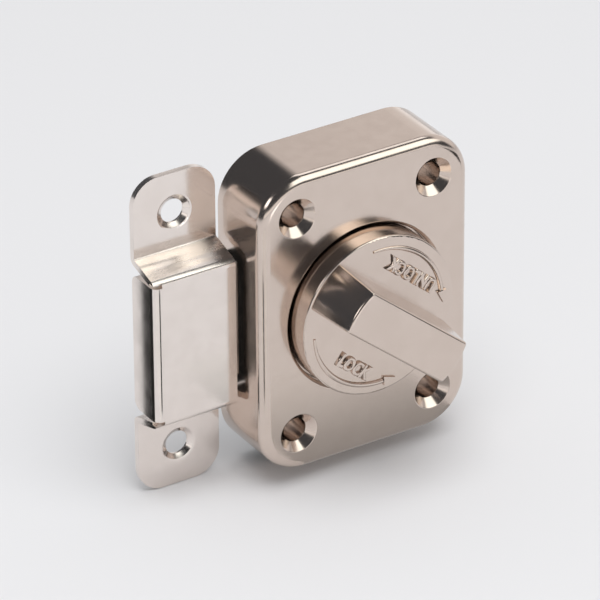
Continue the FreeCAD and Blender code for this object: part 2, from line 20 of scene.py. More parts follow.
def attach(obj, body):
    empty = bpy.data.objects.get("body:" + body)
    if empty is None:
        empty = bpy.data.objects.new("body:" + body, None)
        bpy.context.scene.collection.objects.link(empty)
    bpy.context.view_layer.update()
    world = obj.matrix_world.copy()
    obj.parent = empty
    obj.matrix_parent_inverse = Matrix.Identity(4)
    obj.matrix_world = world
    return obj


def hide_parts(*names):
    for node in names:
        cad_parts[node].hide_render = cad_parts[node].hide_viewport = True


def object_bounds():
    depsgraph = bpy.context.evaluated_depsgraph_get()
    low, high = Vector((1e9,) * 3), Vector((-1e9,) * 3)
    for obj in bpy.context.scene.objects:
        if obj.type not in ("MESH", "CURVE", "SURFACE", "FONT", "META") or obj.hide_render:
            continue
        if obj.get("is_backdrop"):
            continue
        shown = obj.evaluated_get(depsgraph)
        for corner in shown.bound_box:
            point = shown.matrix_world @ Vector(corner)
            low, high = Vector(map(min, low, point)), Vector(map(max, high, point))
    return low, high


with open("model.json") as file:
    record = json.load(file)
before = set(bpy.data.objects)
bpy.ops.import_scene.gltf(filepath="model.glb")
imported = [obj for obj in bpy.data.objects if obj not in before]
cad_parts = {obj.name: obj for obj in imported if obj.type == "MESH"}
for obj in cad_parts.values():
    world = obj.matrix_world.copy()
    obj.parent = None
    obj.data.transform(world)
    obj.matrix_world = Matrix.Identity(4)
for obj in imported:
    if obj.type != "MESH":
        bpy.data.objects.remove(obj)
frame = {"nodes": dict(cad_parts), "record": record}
LOG = logging.getLogger("twist_latch")
MM = 0.001
Socket = bpy.types.NodeSocket
Tree = bpy.types.NodeTree


class Slot(Enum):
    """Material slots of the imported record."""

    SATIN = "satin_nickel"
    BRIGHT = "bright_nickel"
    ZINC = "zinc_steel"
    SPRING = "spring_steel"
    BRASS = "brass"
    ACETAL = "acetal"


class Body(Enum):
    """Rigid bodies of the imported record."""

    CASE = "case"
    KNOB = "knob_group"
    BOLT = "bolt_group"


def link(tree: Tree, source: Socket, target: Socket) -> None:
    """Join two sockets of a tree."""
    tree.links.new(source, target)


def math_node(tree: Tree, operation: str, *values: "Socket | float") -> Socket:
    """Add a Math node.

    Args:
        tree: The tree that gets the node.
        operation: The node's operation.
        values: One entry per input, a socket to link or a number to set.

    Returns:
        The node's output socket.
    """
    node = tree.nodes.new("ShaderNodeMath")
    node.operation = operation
    for index, value in enumerate(values):
        if isinstance(value, (int, float)):
            node.inputs[index].default_value = value
        else:
            link(tree, value, node.inputs[index])
    return node.outputs[0]


def ramp_node(tree: Tree, value: Socket, low: float, high: float, out_low: float = 0.0,
              out_high: float = 1.0) -> Socket:
    """Add a smooth Map Range node.

    Args:
        tree: The tree that gets the node.
        value: The socket that is mapped.
        low: The value where the ramp starts.
        high: The value where it ends.
        out_low: The result at the start.
        out_high: The result at the end.

    Returns:
        The node's output socket.
    """
    node = tree.nodes.new("ShaderNodeMapRange")
    node.interpolation_type = "SMOOTHSTEP"
    link(tree, value, node.inputs["Value"])
    node.inputs["From Min"].default_value = low
    node.inputs["From Max"].default_value = high
    node.inputs["To Min"].default_value = out_low
    node.inputs["To Max"].default_value = out_high
    return node.outputs["Result"]


def mix_colour(tree: Tree, mask: "Socket | float", first: "Socket | tuple",
               second: "Socket | tuple") -> Socket:
    """Add a colour Mix node.

    Args:
        tree: The tree that gets the node.
        mask: The share of the second colour.
        first: The colour at mask 0.
        second: The colour at mask 1.

    Returns:
        The mixed colour's socket.
    """
    node = tree.nodes.new("ShaderNodeMix")
    node.data_type = "RGBA"
    for value, target in ((mask, node.inputs[0]), (first, node.inputs[6]), (second, node.inputs[7])):
        if isinstance(value, float):
            target.default_value = value
        elif isinstance(value, tuple):
            target.default_value = (*value, 1.0)
        else:
            link(tree, value, target)
    return node.outputs[2]


@dataclass(frozen=True)
class PlatingGroup:
    """The shared node group of a plated metal.

    It gives the mottling of the plate, its grain, which a stretch draws out into lines, and the
    gentle roll that bending leaves in a sheet where it faces upwards.
    """

    name: str = "plating_surface"
    inputs: tuple = (("Mottle Scale", 300.0), ("Grain Scale", 9000.0), ("Line Stretch", 1.0))
    outputs: tuple = ("Tone", "Rough", "Height", "Roll", "Bent")
    mottle_detail: float = 3.0
    grain_detail: float = 2.0
    roll_detail: float = 0.0
    roll_per_mottle: float = 2.6
    tone_span: tuple = (0.3, 0.7)
    rough_span: tuple = (0.7, 1.3)
    bent_span: tuple = (0.2, 0.7)

    def build(self) -> Tree:
        """Make the group once.

        Returns:
            The node group, with the outputs Tone, Rough, Height, Roll and Bent.
        """
        tree = bpy.data.node_groups.get(self.name)
        if tree:
            return tree
        tree = bpy.data.node_groups.new(self.name, "ShaderNodeTree")
        for label, value in self.inputs:
            made = tree.interface.new_socket(label, in_out="INPUT", socket_type="NodeSocketFloat")
            made.default_value = value
        for label in self.outputs:
            tree.interface.new_socket(label, in_out="OUTPUT", socket_type="NodeSocketFloat")
        start = tree.nodes.new("NodeGroupInput")
        end = tree.nodes.new("NodeGroupOutput")
        place = tree.nodes.new("ShaderNodeTexCoord")
        drawn = self.drawn_out(tree, place.outputs["Object"], start.outputs["Line Stretch"])
        mottle_scale = start.outputs["Mottle Scale"]
        mottle = self.noise(tree, place.outputs["Object"], mottle_scale, self.mottle_detail)
        grain = self.noise(tree, drawn, start.outputs["Grain Scale"], self.grain_detail)
        roll_scale = math_node(tree, "MULTIPLY", mottle_scale, self.roll_per_mottle)
        roll = self.noise(tree, drawn, roll_scale, self.roll_detail)
        facing = tree.nodes.new("ShaderNodeSeparateXYZ")
        link(tree, place.outputs["Normal"], facing.inputs[0])
        bent = ramp_node(tree, facing.outputs[2], *self.bent_span)
        both = math_node(tree, "ADD", mottle, grain)
        link(tree, ramp_node(tree, mottle, *self.tone_span), end.inputs["Tone"])
        link(tree, ramp_node(tree, both, *self.rough_span, -1.0, 1.0), end.inputs["Rough"])
        link(tree, grain, end.inputs["Height"])
        link(tree, math_node(tree, "MULTIPLY", roll, bent), end.inputs["Roll"])
        link(tree, bent, end.inputs["Bent"])
        return tree

    @staticmethod
    def drawn_out(tree: Tree, place: Socket, share: Socket) -> Socket:
        """Shorten a place along X, so that a pattern on it is drawn out along X.

        Args:
            tree: The tree that gets the nodes.
            place: The place on the surface.
            share: What is left of the X coordinate.

        Returns:
            The shortened place.
        """
        scale = tree.nodes.new("ShaderNodeCombineXYZ")
        link(tree, share, scale.inputs[0])
        scale.inputs[1].default_value = 1.0
        scale.inputs[2].default_value = 1.0
        stretch = tree.nodes.new("ShaderNodeVectorMath")
        stretch.operation = "MULTIPLY"
        link(tree, place, stretch.inputs[0])
        link(tree, scale.outputs[0], stretch.inputs[1])
        return stretch.outputs[0]

    @staticmethod
    def noise(tree: Tree, vector: Socket, scale: Socket, detail: float) -> Socket:
        """Add a Noise Texture node.

        Args:
            tree: The tree that gets the node.
            vector: The place on the surface.
            scale: The noise's scale.
            detail: The noise's detail.

        Returns:
            The noise's value.
        """
        node = tree.nodes.new("ShaderNodeTexNoise")
        link(tree, vector, node.inputs["Vector"])
        link(tree, scale, node.inputs["Scale"])
        node.inputs["Detail"].default_value = detail
        return node.outputs[0]


@dataclass(frozen=True)
class Finish:
    """One surface finish of the latch, whose colour wanders between two tones.

    A roll depth is only for bent sheet, which is also rougher where it is bent.
    """

    name: str
    colour: tuple
    toned: tuple
    roughness: float
    roughness_spread: float = 0.03
    metallic: float = 1.0
    mottle_scale: float = 260.0
    grain_scale: float = 5200.0
    line_stretch: float = 1.0
    bump: float = 0.05
    bump_depth_mm: float = 0.02
    roll_depth_mm: float = 0.0
    bent_roughness: float = 0.17

    def material(self) -> bpy.types.Material:
        """Make the finish's material, or return it if it is there.

        Returns:
            The material.
        """
        made = bpy.data.materials.get(self.name)
        if made:
            return made
        made = bpy.data.materials.new(self.name)
        made.use_nodes = True
        tree = made.node_tree
        shader = tree.nodes["Principled BSDF"]
        shader.inputs["Metallic"].default_value = self.metallic
        surface = tree.nodes.new("ShaderNodeGroup")
        surface.node_tree = PlatingGroup().build()
        surface.inputs["Mottle Scale"].default_value = self.mottle_scale
        surface.inputs["Grain Scale"].default_value = self.grain_scale
        surface.inputs["Line Stretch"].default_value = self.line_stretch
        colour = mix_colour(tree, surface.outputs["Tone"], self.colour, self.toned)
        link(tree, colour, shader.inputs["Base Color"])
        rough = math_node(tree, "MULTIPLY_ADD", surface.outputs["Rough"], self.roughness_spread,
                          self.roughness)
        bump = tree.nodes.new("ShaderNodeBump")
        bump.inputs["Strength"].default_value = self.bump
        bump.inputs["Distance"].default_value = self.bump_depth_mm * MM
        link(tree, surface.outputs["Height"], bump.inputs["Height"])
        if self.roll_depth_mm:
            rough = math_node(tree, "MULTIPLY_ADD", surface.outputs["Bent"], self.bent_roughness, rough)
            rolled = tree.nodes.new("ShaderNodeBump")
            rolled.inputs["Distance"].default_value = self.roll_depth_mm * MM
            link(tree, surface.outputs["Roll"], rolled.inputs["Height"])
            link(tree, rolled.outputs["Normal"], bump.inputs["Normal"])
        link(tree, rough, shader.inputs["Roughness"])
        link(tree, bump.outputs["Normal"], shader.inputs["Normal"])
        return made


SATIN_NICKEL = Finish("satin_nickel_plate", (0.68, 0.582, 0.519), (0.66, 0.562, 0.499), 0.17)
KEEPER_NICKEL = Finish("bright_nickel_sheet", (0.84, 0.77, 0.724), (0.81, 0.74, 0.694), 0.12,
                       line_stretch=0.12, roll_depth_mm=0.16)
BOLT_NICKEL = Finish("bolt_nickel", (0.72, 0.66, 0.61), (0.70, 0.64, 0.59), 0.16)
ZINC_PLATE = Finish("zinc_plated_steel", (0.60, 0.61, 0.63), (0.52, 0.54, 0.57), 0.30,
                    roughness_spread=0.06)
SPRING_STEEL = Finish("blued_spring_steel", (0.36, 0.37, 0.40), (0.30, 0.31, 0.34), 0.25)
BUSH_BRASS = Finish("turned_brass", (0.78, 0.58, 0.26), (0.72, 0.52, 0.22), 0.22, line_stretch=0.1)
RAIL_ACETAL = Finish("white_acetal", (0.80, 0.80, 0.77), (0.77, 0.77, 0.74), 0.45, metallic=0.0)
FINISH_OF_SLOT = {
    Slot.SATIN: SATIN_NICKEL,
    Slot.BRIGHT: BOLT_NICKEL,
    Slot.ZINC: ZINC_PLATE,
    Slot.SPRING: SPRING_STEEL,
    Slot.BRASS: BUSH_BRASS,
    Slot.ACETAL: RAIL_ACETAL,
}


def plain_mesh(source: bpy.types.Object, name: str) -> bpy.types.Mesh:
    """The mesh of an object with its modifiers worked in.

    Args:
        source: The object, in the scene.
        name: The new mesh's name.

    Returns:
        A mesh of its own.
    """
    graph = bpy.context.evaluated_depsgraph_get()
    mesh = bpy.data.meshes.new_from_object(source.evaluated_get(graph))
    mesh.name = name
    return mesh


def new_object(name: str, data: bpy.types.ID) -> bpy.types.Object:
    """Put a mesh, a lettering, a lamp or a camera into the scene as an object at the origin.

    Args:
        name: The object's name.
        data: What the object holds.

    Returns:
        The object.
    """
    made = bpy.data.objects.new(name, data)
    bpy.context.scene.collection.objects.link(made)
    return made


class GeometryTree:
    """A geometry node tree with named inputs that makes one mesh."""

    def __init__(self, name: str) -> None:
        """Start an empty tree.

        Args:
            name: The tree's name.
        """
        self.tree = bpy.data.node_groups.new(name, "GeometryNodeTree")
        self.tree.interface.new_socket("Geometry", in_out="OUTPUT", socket_type="NodeSocketGeometry")
        self.start = self.tree.nodes.new("NodeGroupInput")
        self.end = self.tree.nodes.new("NodeGroupOutput")
        self.identifiers: dict = {}

    def named(self, label: str, kind: str = "NodeSocketFloat") -> Socket:
        """Add a named input.

        Args:
            label: The input's name.
            kind: The input's socket type.

        Returns:
            The socket inside the tree.
        """
        made = self.tree.interface.new_socket(label, in_out="INPUT", socket_type=kind)
        self.identifiers[label] = made.identifier
        return self.start.outputs[label]

    def node(self, kind: str, options: dict, inputs: dict) -> bpy.types.Node:
        """Add a node.

        Args:
            kind: The node's type.
            options: The node's properties.
            inputs: A socket to link, or a value to set, by input name.

        Returns:
            The node.
        """
        made = self.tree.nodes.new(kind)
        for label, value in options.items():
            setattr(made, label, value)
        for label, value in inputs.items():
            if isinstance(value, bpy.types.NodeSocket):
                link(self.tree, value, made.inputs[label])
            else:
                made.inputs[label].default_value = value
        return made

    def vector(self, x: "Socket | float", y: "Socket | float", z: "Socket | float") -> Socket:
        """Join three numbers to a vector socket."""
        return self.node("ShaderNodeCombineXYZ", {}, {"X": x, "Y": y, "Z": z}).outputs[0]

    def moved(self, shape: Socket, translation: Socket, rotation: "Socket | None" = None,
              scale: "Socket | None" = None) -> Socket:
        """Add a Transform Geometry node.

        Args:
            shape: The geometry that is moved.
            translation: How far.
            rotation: The turn, or none.
            scale: The stretch, or none.

        Returns:
            The moved geometry.
        """
        inputs = {"Geometry": shape, "Translation": translation}
        if rotation is not None:
            inputs["Rotation"] = rotation
        if scale is not None:
            inputs["Scale"] = scale
        return self.node("GeometryNodeTransform", {}, inputs).outputs[0]

    def finish(self, shape: Socket, material: Socket) -> None:
        """Give the geometry its material and put it out."""
        dressed = self.node("GeometryNodeSetMaterial", {}, {"Geometry": shape, "Material": material})
        link(self.tree, dressed.outputs[0], self.end.inputs[0])

    def mesh(self, name: str, values: dict) -> bpy.types.Mesh:
        """Run the tree once.

        Args:
            name: The new mesh's name.
            values: The value of each named input.

        Returns:
            The mesh that the tree makes.
        """
        holder = new_object(name, bpy.data.meshes.new(name + "_start"))
        runner = holder.modifiers.new("nodes", "NODES")
        runner.node_group = self.tree
        for label, value in values.items():
            runner[self.identifiers[label]] = value
        bpy.context.view_layer.update()
        made = plain_mesh(holder, name)
        holder.modifiers.clear()
        bpy.data.objects.remove(holder)
        return made


@dataclass
class SoftEdged:
    """A welded copy of a solid whose sharp edges are broken by a small round.

    Edges sharper than one angle are broken, and faces flatter than the other are merged.
    """

    node: str
    body: Body
    slot: Slot
    finish: Finish
    edge_mm: float = 0.12
    sharp_degrees: float = 35.0
    flat_degrees: float = 0.3
    weld_distance: float = 1e-7
    rounds: int = 2
    shading_layers: tuple = ("custom_normal", "sharp_face", "sharp_edge")

    def welded(self) -> bpy.types.Object:
        """Copy the solid's mesh, join its loose triangles and merge its flat faces.

        Returns:
            The copy, smooth shaded, without modifiers.
        """
        shape = bmesh.new()
        shape.from_mesh(frame["nodes"][self.node].data)
        bmesh.ops.remove_doubles(shape, verts=shape.verts, dist=self.weld_distance)
        bmesh.ops.dissolve_limit(shape, angle_limit=math.radians(self.flat_degrees),
                                 verts=shape.verts, edges=shape.edges)
        mesh = bpy.data.meshes.new(self.node + "_rounded")
        shape.to_mesh(mesh)
        shape.free()
        for name in self.shading_layers:
            layer = mesh.attributes.get(name)
            if layer:
                mesh.attributes.remove(layer)
        for face in mesh.polygons:
            face.use_smooth = True
        return new_object(self.node + "_rounded", mesh)

    def build(self) -> bpy.types.Object:
        """Make the piece and let it stand for its solid.

        Returns:
            The finished object.
        """
        piece = self.welded()
        edge = piece.modifiers.new("broken_edges", "BEVEL")
        edge.width = self.edge_mm * MM
        edge.segments = self.rounds
        edge.limit_method = "ANGLE"
        edge.angle_limit = math.radians(self.sharp_degrees)
        edge.use_clamp_overlap = True
        edge.harden_normals = True
        even = piece.modifiers.new("even_shading", "WEIGHTED_NORMAL")
        even.keep_sharp = True
        mesh = plain_mesh(piece, self.node + "_surface")
        piece.modifiers.clear()
        piece.data = mesh
        mesh.materials.clear()
        mesh.materials.append(self.finish.material())
        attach(piece, self.body.value)
        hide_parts(self.node)
        LOG.info("%s: %d faces", piece.name, len(mesh.polygons))
        return piece


@dataclass
class PlateScrews:
    """The four slotted countersunk screws of the back plate, each turned as it came to rest."""

    spacing_x_mm: float = 15.0
    spacing_z_mm: float = 58.0
    head_radius_mm: float = 2.26
    shank_radius_mm: float = 1.25
    length_mm: float = 8.0
    shank_start_mm: float = 0.02
    slot_width_mm: float = 0.6
    slot_depth_mm: float = 0.6
    seed: int = 7
    sides: int = 64

    def build(self) -> bpy.types.Object:
        """Build the screws as one piece that stands for their solid.

        Returns:
            The finished object.
        """
        values = {
            "Spacing X": self.spacing_x_mm * MM,
            "Spacing Y": self.spacing_z_mm * MM,
            "Head Radius": self.head_radius_mm * MM,
            "Shank Radius": self.shank_radius_mm * MM,
            "Length": self.length_mm * MM,
            "Shank Start": self.shank_start_mm * MM,
            "Slot Width": self.slot_width_mm * MM,
            "Slot Depth": self.slot_depth_mm * MM,
            "Seed": self.seed,
            "Material": ZINC_PLATE.material(),
        }
        mesh = self.tree().mesh("back_plate_screw_set", values)
        mesh.transform(Matrix.Rotation(math.radians(-90), 4, "X"))
        piece = new_object("back_plate_screw_set", mesh)
        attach(piece, Body.CASE.value)
        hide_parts("back_plate_screws")
        LOG.info("%s: %d faces", piece.name, len(mesh.polygons))
        return piece

    def tree(self) -> GeometryTree:
        """Make the tree: one screw with its slot, set on the corners of a rectangle.

        Returns:
            The tree.
        """
        made = GeometryTree("plate_screw_set")
        spacing_x = made.named("Spacing X")
        spacing_y = made.named("Spacing Y")
        head_radius = made.named("Head Radius")
        shank_radius = made.named("Shank Radius")
        length = made.named("Length")
        shank_start = made.named("Shank Start")
        slot_width = made.named("Slot Width")
        slot_depth = made.named("Slot Depth")
        seed = made.named("Seed", "NodeSocketInt")
        material = made.named("Material", "NodeSocketMaterial")
        tree = made.tree
        head_depth = math_node(tree, "SUBTRACT", head_radius, shank_radius)
        head = made.node("GeometryNodeMeshCone", {}, {
            "Vertices": self.sides, "Radius Top": head_radius, "Radius Bottom": shank_radius,
            "Depth": head_depth}).outputs[0]
        head = made.moved(head, made.vector(0.0, 0.0, math_node(tree, "MULTIPLY", head_depth, -1.0)))
        shank = made.node("GeometryNodeMeshCylinder", {}, {
            "Vertices": self.sides, "Radius": shank_radius, "Depth": length}).outputs[0]
        shank_middle = math_node(tree, "MULTIPLY", length, -0.5)
        shank_middle = math_node(tree, "SUBTRACT", shank_middle, shank_start)
        shank = made.moved(shank, made.vector(0.0, 0.0, shank_middle))
        both = made.node("GeometryNodeMeshBoolean", {"operation": "UNION", "solver": "EXACT"}, {})
        link(tree, head, both.inputs["Mesh 2"])
        link(tree, shank, both.inputs["Mesh 2"])
        past_head = math_node(tree, "MULTIPLY", head_radius, 3.0)
        slot_size = made.vector(past_head, slot_width, math_node(tree, "MULTIPLY", slot_depth, 2.0))
        slot = made.node("GeometryNodeMeshCube", {}, {"Size": slot_size}).outputs[0]
        cut = made.node("GeometryNodeMeshBoolean", {"operation": "DIFFERENCE", "solver": "EXACT"}, {
            "Mesh 1": both.outputs[0]})
        link(tree, slot, cut.inputs["Mesh 2"])
        corners = made.node("GeometryNodeMeshGrid", {}, {
            "Size X": spacing_x, "Size Y": spacing_y, "Vertices X": 2, "Vertices Y": 2})
        turn = tree.nodes.new("FunctionNodeRandomValue")
        turn.data_type = "FLOAT"
        turn.inputs[2].default_value = 0.0
        turn.inputs[3].default_value = math.pi
        link(tree, seed, turn.inputs["Seed"])
        placed = made.node("GeometryNodeInstanceOnPoints", {}, {
            "Points": corners.outputs[0], "Instance": cut.outputs[0],
            "Rotation": made.vector(0.0, 0.0, turn.outputs[1])})
        real = made.node("GeometryNodeRealizeInstances", {}, {"Geometry": placed.outputs[0]})
        made.finish(real.outputs[0], material)
        return made


@dataclass
class Case:
    """The closed case, its back plate and the plate's screws."""

    edge_mm: float = 0.12

    def build(self) -> None:
        """Build the case's visible pieces."""
        SoftEdged("case_body", Body.CASE, Slot.SATIN, SATIN_NICKEL, self.edge_mm).build()
        SoftEdged("back_plate", Body.CASE, Slot.ZINC, ZINC_PLATE, self.edge_mm).build()
        PlateScrews().build()


@dataclass
class WordLine:
    """One raised word on the knob's disc."""

    text: str
    centre_mm: tuple
    turn_degrees: float
    height_mm: float = 3.3
    width_mm: float = 10.0


@dataclass
class ArcLine:
    """One raised arc arrow on the knob's disc, from its tail to its head."""

    side: str
    radius_mm: float
    start_degrees: float
    sweep_degrees: float


@dataclass
class ArcArrows:
    """The raised arc arrows, which swell from the tail and end in a head."""

    lines: tuple = (
        ArcLine("left", 15.5, -177.0, 90.0),
        ArcLine("right", 15.1, 95.0, -89.0),
    )
    band_mm: float = 1.1
    relief_mm: float = 0.55
    head_length_mm: float = 3.2
    head_width_mm: float = 2.4
    head_taper: float = 0.84
    tail_width_share: float = 0.5
    tail_length_share: float = 0.4
    corner_share: float = 0.95
    corner_steps: int = 3
    arc_steps: int = 72

    def build(self, place: Matrix) -> None:
        """Build the arrows.

        Args:
            place: The matrix that lays a flat drawing on the disc.
        """
        tree = self.tree()
        for line in self.lines:
            values = {
                "Radius": line.radius_mm * MM,
                "Start Angle": math.radians(line.start_degrees),
                "Sweep Angle": math.radians(line.sweep_degrees),
                "Band Width": self.band_mm * MM,
                "Relief": self.relief_mm * MM,
                "Head Length": self.head_length_mm * MM,
                "Head Width": self.head_width_mm * MM,
                "Material": SATIN_NICKEL.material(),
            }
            name = "raised_arrow_" + line.side
            mesh = tree.mesh(name, values)
            mesh.transform(place)
            piece = new_object(name, mesh)
            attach(piece, Body.KNOB.value)
            LOG.info("%s: %d faces", name, len(mesh.polygons))

    def tree(self) -> GeometryTree:
        """Make the tree that sweeps a band along the arc and sets a head on its end.

        The head starts as an upright triangle of radius 1, which is one and a half long and
        root three wide, with its back edge half a radius behind its centre.

        Returns:
            The tree.
        """
        made = GeometryTree("arc_arrow")
        radius = made.named("Radius")
        start = made.named("Start Angle")
        sweep = made.named("Sweep Angle")
        band = made.named("Band Width")
        relief = made.named("Relief")
        head_length = made.named("Head Length")
        head_width = made.named("Head Width")
        material = made.named("Material", "NodeSocketMaterial")
        tree = made.tree
        arc = made.node("GeometryNodeCurveArc", {}, {
            "Resolution": self.arc_steps, "Radius": radius, "Start Angle": start, "Sweep Angle": sweep})
        level = made.node("GeometryNodeSetCurveNormal", {"mode": "Z_UP"}, {"Curve": arc.outputs[0]})
        thick = math_node(tree, "MULTIPLY", relief, 2.0)
        profile = made.node("GeometryNodeCurvePrimitiveQuadrilateral", {}, {
            "Width": band, "Height": thick})
        rounded = made.node("GeometryNodeFilletCurve", {"mode": "POLY"}, {
            "Curve": profile.outputs[0], "Count": self.corner_steps,
            "Radius": math_node(tree, "MULTIPLY", relief, self.corner_share)})
        along = tree.nodes.new("GeometryNodeSplineParameter").outputs["Factor"]
        swell = ramp_node(tree, along, 0.0, self.tail_length_share, self.tail_width_share, 1.0)
        strip = made.node("GeometryNodeCurveToMesh", {}, {
            "Curve": level.outputs[0], "Profile Curve": rounded.outputs[0], "Scale": swell,
            "Fill Caps": True}).outputs[0]
        head = made.node("GeometryNodeMeshCone", {}, {
            "Vertices": 3, "Radius Top": self.head_taper, "Radius Bottom": 1.0,
            "Depth": thick}).outputs[0]
        stretch = made.vector(math_node(tree, "DIVIDE", head_length, 1.5),
                              math_node(tree, "DIVIDE", head_width, math.sqrt(3)), 1.0)
        ahead = math_node(tree, "DIVIDE", head_length, 3.0)
        below = math_node(tree, "MULTIPLY", relief, -1.0)
        head = made.moved(head, made.vector(ahead, 0.0, below), scale=stretch)
        end = math_node(tree, "ADD", start, sweep)
        forward = math_node(tree, "MULTIPLY", math_node(tree, "SIGN", sweep), math.pi / 2)
        turn = made.vector(0.0, 0.0, math_node(tree, "ADD", end, forward))
        there = made.vector(math_node(tree, "MULTIPLY", radius, math_node(tree, "COSINE", end)),
                            math_node(tree, "MULTIPLY", radius, math_node(tree, "SINE", end)), 0.0)
        head = made.moved(head, there, rotation=turn)
        joined = tree.nodes.new("GeometryNodeJoinGeometry")
        link(tree, strip, joined.inputs[0])
        link(tree, head, joined.inputs[0])
        made.finish(joined.outputs[0], material)
        return made


@dataclass
class Knob:
    """The turning knob with its grip bar, raised words and arc arrows.

    The face is where the disc's front stands along Y. The letters' thickness and bevel are shares
    of their type size, before a word is brought to its own size.
    """

    edge_mm: float = 0.1
    face_mm: float = -21.3
    relief_mm: float = 0.6
    letter_thickness: float = 0.05
    letter_bevel: float = 0.07
    letter_rounds: int = 2
    words: tuple = (
        WordLine("LOCK", (-5.95, -10.05), -39.7, width_mm=9.5),
        WordLine("UNLOCK", (7.5, 7.5), 140.3, width_mm=14.4),
    )

    def build(self) -> None:
        """Build the knob and its relief."""
        SoftEdged("knob", Body.KNOB, Slot.SATIN, SATIN_NICKEL, self.edge_mm).build()
        for word in self.words:
            self.word(word)
        ArcArrows().build(self.on_disc(0.0, 0.0, 0.0))

    def on_disc(self, x_mm: float, z_mm: float, turn_degrees: float) -> Matrix:
        """A flat drawing's place on the disc.

        Args:
            x_mm: The drawing's origin along X from the axis.
            z_mm: The drawing's origin along Z from the axis.
            turn_degrees: How far the drawing is turned, seen from the front.

        Returns:
            The matrix that stands the drawing up and faces it to the front.
        """
        stand = Matrix.Rotation(math.radians(90), 4, "X")
        turn = Matrix.Rotation(math.radians(turn_degrees), 4, "Z")
        place = Matrix.Translation((x_mm * MM, self.face_mm * MM, z_mm * MM))
        return place @ stand @ turn

    def letters(self, text: str) -> bpy.types.Mesh:
        """Make a word's letters, lying flat in a type size of one metre.

        Args:
            text: The word.

        Returns:
            The letters as one mesh.
        """
        curve = bpy.data.curves.new("word_" + text, "FONT")
        curve.body = text
        curve.align_x = "CENTER"
        curve.align_y = "CENTER"
        curve.extrude = self.letter_thickness
        curve.bevel_depth = self.letter_bevel
        curve.bevel_resolution = self.letter_rounds
        flat = new_object("word_line", curve)
        bpy.context.view_layer.update()
        mesh = plain_mesh(flat, "raised_word_" + text)
        bpy.data.objects.remove(flat)
        return mesh

    def word(self, word: WordLine) -> bpy.types.Object:
        """Build one raised word.

        Args:
            word: The word, its place and its size.

        Returns:
            The word as a mesh that rides on the knob.
        """
        mesh = self.letters(word.text)
        xs = [v.co.x for v in mesh.vertices]
        ys = [v.co.y for v in mesh.vertices]
        zs = [v.co.z for v in mesh.vertices]
        middle = Vector(((min(xs) + max(xs)) / 2, (min(ys) + max(ys)) / 2, 0))
        mesh.transform(Matrix.Translation(-middle))
        wide = word.width_mm * MM / (max(xs) - min(xs))
        tall = word.height_mm * MM / (max(ys) - min(ys))
        deep = self.relief_mm * MM / (max(zs) - min(zs)) * 2
        mesh.transform(Matrix.Diagonal((wide, tall, deep, 1)))
        mesh.transform(self.on_disc(*word.centre_mm, word.turn_degrees))
        mesh.materials.clear()
        mesh.materials.append(SATIN_NICKEL.material())
        piece = new_object("raised_word_" + word.text, mesh)
        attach(piece, Body.KNOB.value)
        LOG.info("%s: %d faces", piece.name, len(mesh.polygons))
        return piece


@dataclass
class Keeper:
    """The bent sheet keeper."""

    edge_mm: float = 0.14

    def build(self) -> None:
        """Build the keeper."""
        SoftEdged("keeper", Body.CASE, Slot.BRIGHT, KEEPER_NICKEL, self.edge_mm).build()


@dataclass
class Bolt:
    """The bolt's head."""

    edge_mm: float = 0.15

    def build(self) -> None:
        """Build the bolt's head."""
        SoftEdged("bolt_head", Body.BOLT, Slot.BRIGHT, BOLT_NICKEL, self.edge_mm).build()


class InnerWorks:
    """Solids that stay as they are and only get a finish."""

    def build(self) -> None:
        """Dress every solid that no piece stands for."""
        slots = {part["node"]: Slot(part["material_slot"]) for part in frame["record"]["subparts"]}
        for name, solid in sorted(frame["nodes"].items()):
            if solid.hide_render:
                continue
            solid.data.materials.clear()
            solid.data.materials.append(FINISH_OF_SLOT[slots[name]].material())
            LOG.info("%s: dressed", name)


@dataclass(frozen=True)
class Card:
    """A bright card that only the metal shows, a painted reflection that lights nothing, as a window of
    directions in degrees.
    """

    azimuth: float
    half_width: float
    elevation: float
    half_height: float
    soft: float
    level: float
    tint: tuple = (1.0, 1.0, 1.0)


